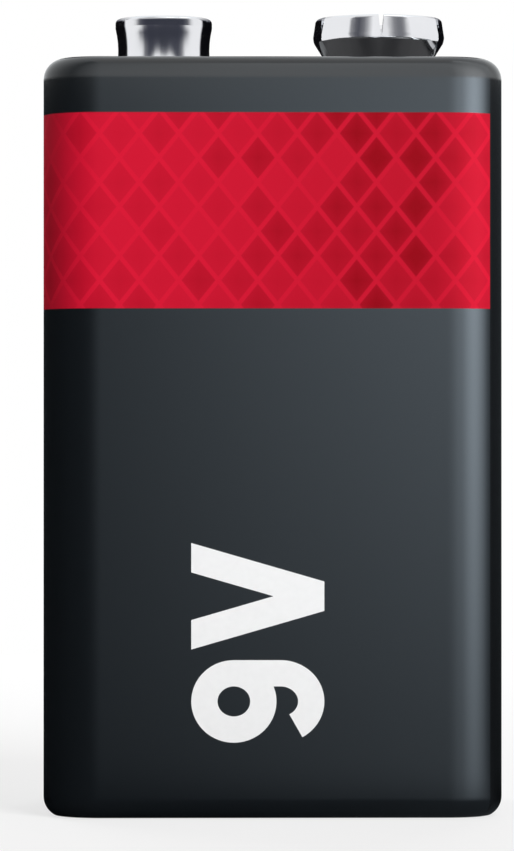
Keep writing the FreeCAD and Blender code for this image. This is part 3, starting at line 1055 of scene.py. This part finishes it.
def stud_tone(azimuth, height, radius):
    """How bright the card round the stud is: dark in front, then a white band to either side, black
    further round, and grey behind. At the stud's foot two bright arches stand in the dark part.

    The waisted stud shows the card's lower part twice, and its foot shows the higher half of that. There
    the brightness rises along one curve, which starts lower where the arches are, and the white bands
    come closer.
    """
    head = (
        (0, 0.05), (30, 0.05), (37, 0.056), (43, 0.1), (47, 0.15), (51, 0.4), (56, 0.78), (62, 0.95),
        (83, 0.98), (88, 0.0), (150, 0.0), (160, 0.5), (180, 0.5),
    )
    foot = (
        (0, 0.05), (30, 0.08), (37, 0.22), (41, 0.5), (45, 0.9), (50, 0.97), (83, 0.98), (88, 0.0),
        (150, 0.0), (160, 0.5), (180, 0.5),
    )
    low = (
        (0.86, 0.0), (0.93, 0.15), (0.985, 0.3), (1.01, 0.5), (1.04, 0.7), (1.09, 0.85), (1.17, 1.0),
        (1.8, 1.0), (2.1, 0.0),
    )
    delay = (
        (-37, 0.22), (-28, 0.24), (-19.5, 0.065), (-15.5, 0.01), (-12, 0.0), (-8, 0.01), (-4, 0.06),
        (0, 0.09), (4, 0.1), (8, 0.06), (12, 0.03), (16, 0.05), (19.5, 0.085), (28, 0.24), (37, 0.22),
    )
    rise = (
        (0.86, 0.0), (0.985, 0.05), (1.04, 0.1), (1.09, 0.14), (1.13, 0.25), (1.17, 0.49), (1.24, 0.87),
        (1.28, 0.97), (1.7, 0.97), (2.1, 0.0),
    )
    arches_end = 42
    above = (height - TERMINAL_FOOT) / MM
    share = between(above, low)
    side = np.abs(azimuth)
    bands = between(side, head) * (1 - share) + between(side, foot) * share
    arches = between(above - between(azimuth, delay), rise) * (side < arches_end)
    return np.maximum(np.maximum(bands, arches), over_top(height))


def socket_tone(azimuth, height, radius):
    """How bright the card round the socket is: white in front and darker towards the side, then a white
    band, black further round, and grey behind."""
    marks = (
        (-180, 0.5), (-160, 0.5), (-150, 0.0), (-92, 0.0), (-88, 0.98), (-40, 0.98), (-38, 0.3), (-34, 0.14),
        (-30, 0.1), (-24, 0.2), (-20, 0.42), (-17, 0.7), (-14, 1.0), (14, 0.9), (16, 0.66), (19, 0.42),
        (22, 0.27), (26, 0.2), (31, 0.2), (34, 0.35), (37, 0.67), (40, 0.98), (88, 0.98), (92, 0.0),
        (150, 0.0), (160, 0.5), (180, 0.5),
    )
    return np.maximum(between(azimuth, marks), over_top(height))


def make_card(name, centre_x, radius, height, tone_at, stops):
    """A ring of card that only gloss shows, from inside, with its own brightness at every place.

    Radius and height are its profile, carried round an upright axis: a point is the radius times the sine
    and the negative cosine of the azimuth. Tone_at gives the brightness for an azimuth, a height and a
    radius, and the stops turn it into a colour.
    """
    degrees = np.linspace(-180, 180, CARD_COLUMNS, endpoint=False)
    azimuth = np.broadcast_to(degrees, (len(height), CARD_COLUMNS))
    turn = np.radians(azimuth)
    wide, upright = (np.broadcast_to(values[:, None], azimuth.shape) for values in (radius, height))
    vertices = np.stack([centre_x + wide * np.sin(turn), wide * -np.cos(turn), upright], axis=-1)
    finish = new_finish(name)
    tone = finish.node("ShaderNodeAttribute", {"attribute_name": "tone"}, output="Fac")
    colour = finish.node("ShaderNodeValToRGB", {"stops": stops}, {"Fac": tone & 1})
    bright = finish.node("ShaderNodeVectorMath", {"operation": "SCALE"}, {0: colour, "Scale": tone | 1})
    lit = finish.node("ShaderNodeEmission", inputs={"Color": bright, "Strength": 1.0})
    faces = ring_faces(len(height), CARD_COLUMNS, wrap_rows=False)
    card = stage_piece(name, vertices, faces, finish.one_sided(lit))
    set_values(card.data, "tone", tone_at(azimuth, upright, wide))
    card.visible_camera = False
    card.visible_diffuse = False
    card.visible_shadow = False
    card.visible_transmission = False


def make_cards(settings):
    """The cards that the battery shows in its gloss.

    The film's card is a floor and a wall, and the dome over them is the shoulder's. Each terminal has a
    ring round it, whose cover leans in over the rim.
    """
    wide = settings.tent_radius
    floor_radius = wide * np.array([0.0, 0.1, 0.3, 0.5, 0.7, 0.95])
    wall_height = np.arange(0, 49, 6) * MM
    radius = np.concatenate([floor_radius, np.full(len(wall_height), wide)])
    height = np.concatenate([np.full(len(floor_radius), CARD_LIFT), wall_height])
    cool = ((0.0, (0, 0, 0)), (1.0, (0.84, 0.98, 1.1)))
    make_card("film_card", 0.0, radius, height, film_tone, cool)
    radius = wide * np.array([1.0, 1.0, 0.93, 0.8, 0.6, 0.33])
    height = np.array([48.2, 60, 75, 85, 95, 105]) * MM
    pale = ((0.0, (0, 0, 0)), (1.0, (0.95, 0.98, 1.0)))
    make_card("dome_card", 0.0, radius, height, dome_tone, pale)
    wall = np.linspace(TERMINAL_FOOT, STUD_HIGH.z + RING_WALL_RISE, RING_WALL_ROWS)
    cover = np.linspace(0, 1, RING_COVER_ROWS)[1:]
    height = np.concatenate([wall, wall[-1] + cover * RING_COVER_RISE])
    radius = settings.ring_radius * np.concatenate([np.ones(len(wall)), 1 - RING_COVER_LEAN * cover])
    plain = ((0.0, (0.003, 0.003, 0.004)), (0.06, (0.048, 0.051, 0.07)), (1.0, (0.97, 0.97, 0.98)))
    make_card("stud_card", (STUD_LOW.x + STUD_HIGH.x) / 2, radius, height, stud_tone, plain)
    make_card("socket_card", (SOCKET_LOW.x + SOCKET_HIGH.x) / 2, radius, height, socket_tone, plain)


def aim(thing, place, target):
    """Stands an object at a place, looking at a target."""
    thing.location = place
    thing.rotation_euler = (Vector(target) - Vector(place)).to_track_quat("-Z", "Y").to_euler()


def make_camera(settings):
    """The photograph's camera: level with the battery's middle, a little to its left."""
    pixels = PHOTO_PIXELS_PER_MM / MM
    camera = bpy.data.cameras.new("camera")
    camera.lens = camera.sensor_width * settings.camera_distance * pixels / PHOTO_HEIGHT
    camera.clip_start = 0.01
    holder = new_object("camera", camera)
    target_x = (PHOTO_WIDTH / 2 - PHOTO_MIDDLE_X) / pixels
    target_z = MIDDLE_HEIGHT + (PHOTO_HORIZON_Y - PHOTO_HEIGHT / 2) / pixels
    aim(holder, (-settings.camera_side, -settings.camera_distance, MIDDLE_HEIGHT), (target_x, 0, target_z))
    bpy.context.scene.camera = holder


def add_lamp(name, radiance, azimuth):
    """A square lamp whose face has the given brightness, azimuth degrees from the front towards +X."""
    lamp = bpy.data.lights.new(name, "AREA")
    lamp.shape = "SQUARE"
    lamp.size = LAMP_SIZE
    lamp.energy = radiance * math.pi * LAMP_SIZE * LAMP_SIZE
    holder = new_object(name, lamp)
    holder.visible_glossy = False
    turn = math.radians(azimuth)
    place = (LAMP_DISTANCE * math.sin(turn), -LAMP_DISTANCE * math.cos(turn), LAMP_HEIGHT)
    aim(holder, place, (0, 0, MIDDLE_HEIGHT))


class BATTERY_OT_stage(bpy.types.Operator):
    """Sets the floor, the white surround, the lamps and the camera"""

    bl_idname = "battery.stage"
    bl_label = "Stage"

    def execute(self, context):
        settings = context.scene.battery_stage
        make_world(settings)
        make_floor(settings)
        make_camera(settings)
        make_cards(settings)
        add_lamp("key", settings.key_light, KEY_AZIMUTH)
        add_lamp("back_left", settings.back_light, BACK_LEFT_AZIMUTH)
        add_lamp("back_right", settings.back_light, BACK_RIGHT_AZIMUTH)
        context.scene.view_settings.view_transform = "Standard"
        return {"FINISHED"}


class BATTERY_PT_panel(bpy.types.Panel):
    """Lists the battery's settings and the steps that make it"""

    bl_label = "Nine Volt Battery"
    bl_idname = "BATTERY_PT_panel"
    bl_space_type = "VIEW_3D"
    bl_region_type = "UI"
    bl_category = "Battery"

    def draw(self, context):
        for step, settings in STEPS:
            box = self.layout.box()
            box.operator(step.bl_idname)
            group = getattr(context.scene, settings)
            for name in type(group).__annotations__:
                box.prop(group, name)


# Each step with the settings that it reads, in the order in which they run
STEPS = (
    (BATTERY_OT_film, "battery_film"),
    (BATTERY_OT_case, "battery_case"),
    (BATTERY_OT_signs, "battery_signs"),
    (BATTERY_OT_inside, "battery_inside"),
    (BATTERY_OT_stage, "battery_stage"),
)

GROUPS = {
    "battery_film": FilmSettings,
    "battery_case": CaseSettings,
    "battery_signs": SignSettings,
    "battery_inside": InsideSettings,
    "battery_stage": StageSettings,
}


def register():
    """Registers the settings, the steps and the panel."""
    for name, group in GROUPS.items():
        bpy.utils.register_class(group)
        setattr(bpy.types.Scene, name, PointerProperty(type=group))
    for step, _ in STEPS:
        bpy.utils.register_class(step)
    bpy.utils.register_class(BATTERY_PT_panel)


def unregister():
    """Takes away what register added, last first."""
    bpy.utils.unregister_class(BATTERY_PT_panel)
    for step, _ in reversed(STEPS):
        bpy.utils.unregister_class(step)
    for name, group in reversed(list(GROUPS.items())):
        delattr(bpy.types.Scene, name)
        bpy.utils.unregister_class(group)


def main():
    """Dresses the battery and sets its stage."""
    register()
    bpy.ops.battery.film()
    bpy.ops.battery.case()
    bpy.ops.battery.signs()
    bpy.ops.battery.inside()
    bpy.ops.battery.stage()


if __name__ == "__main__":
    main()
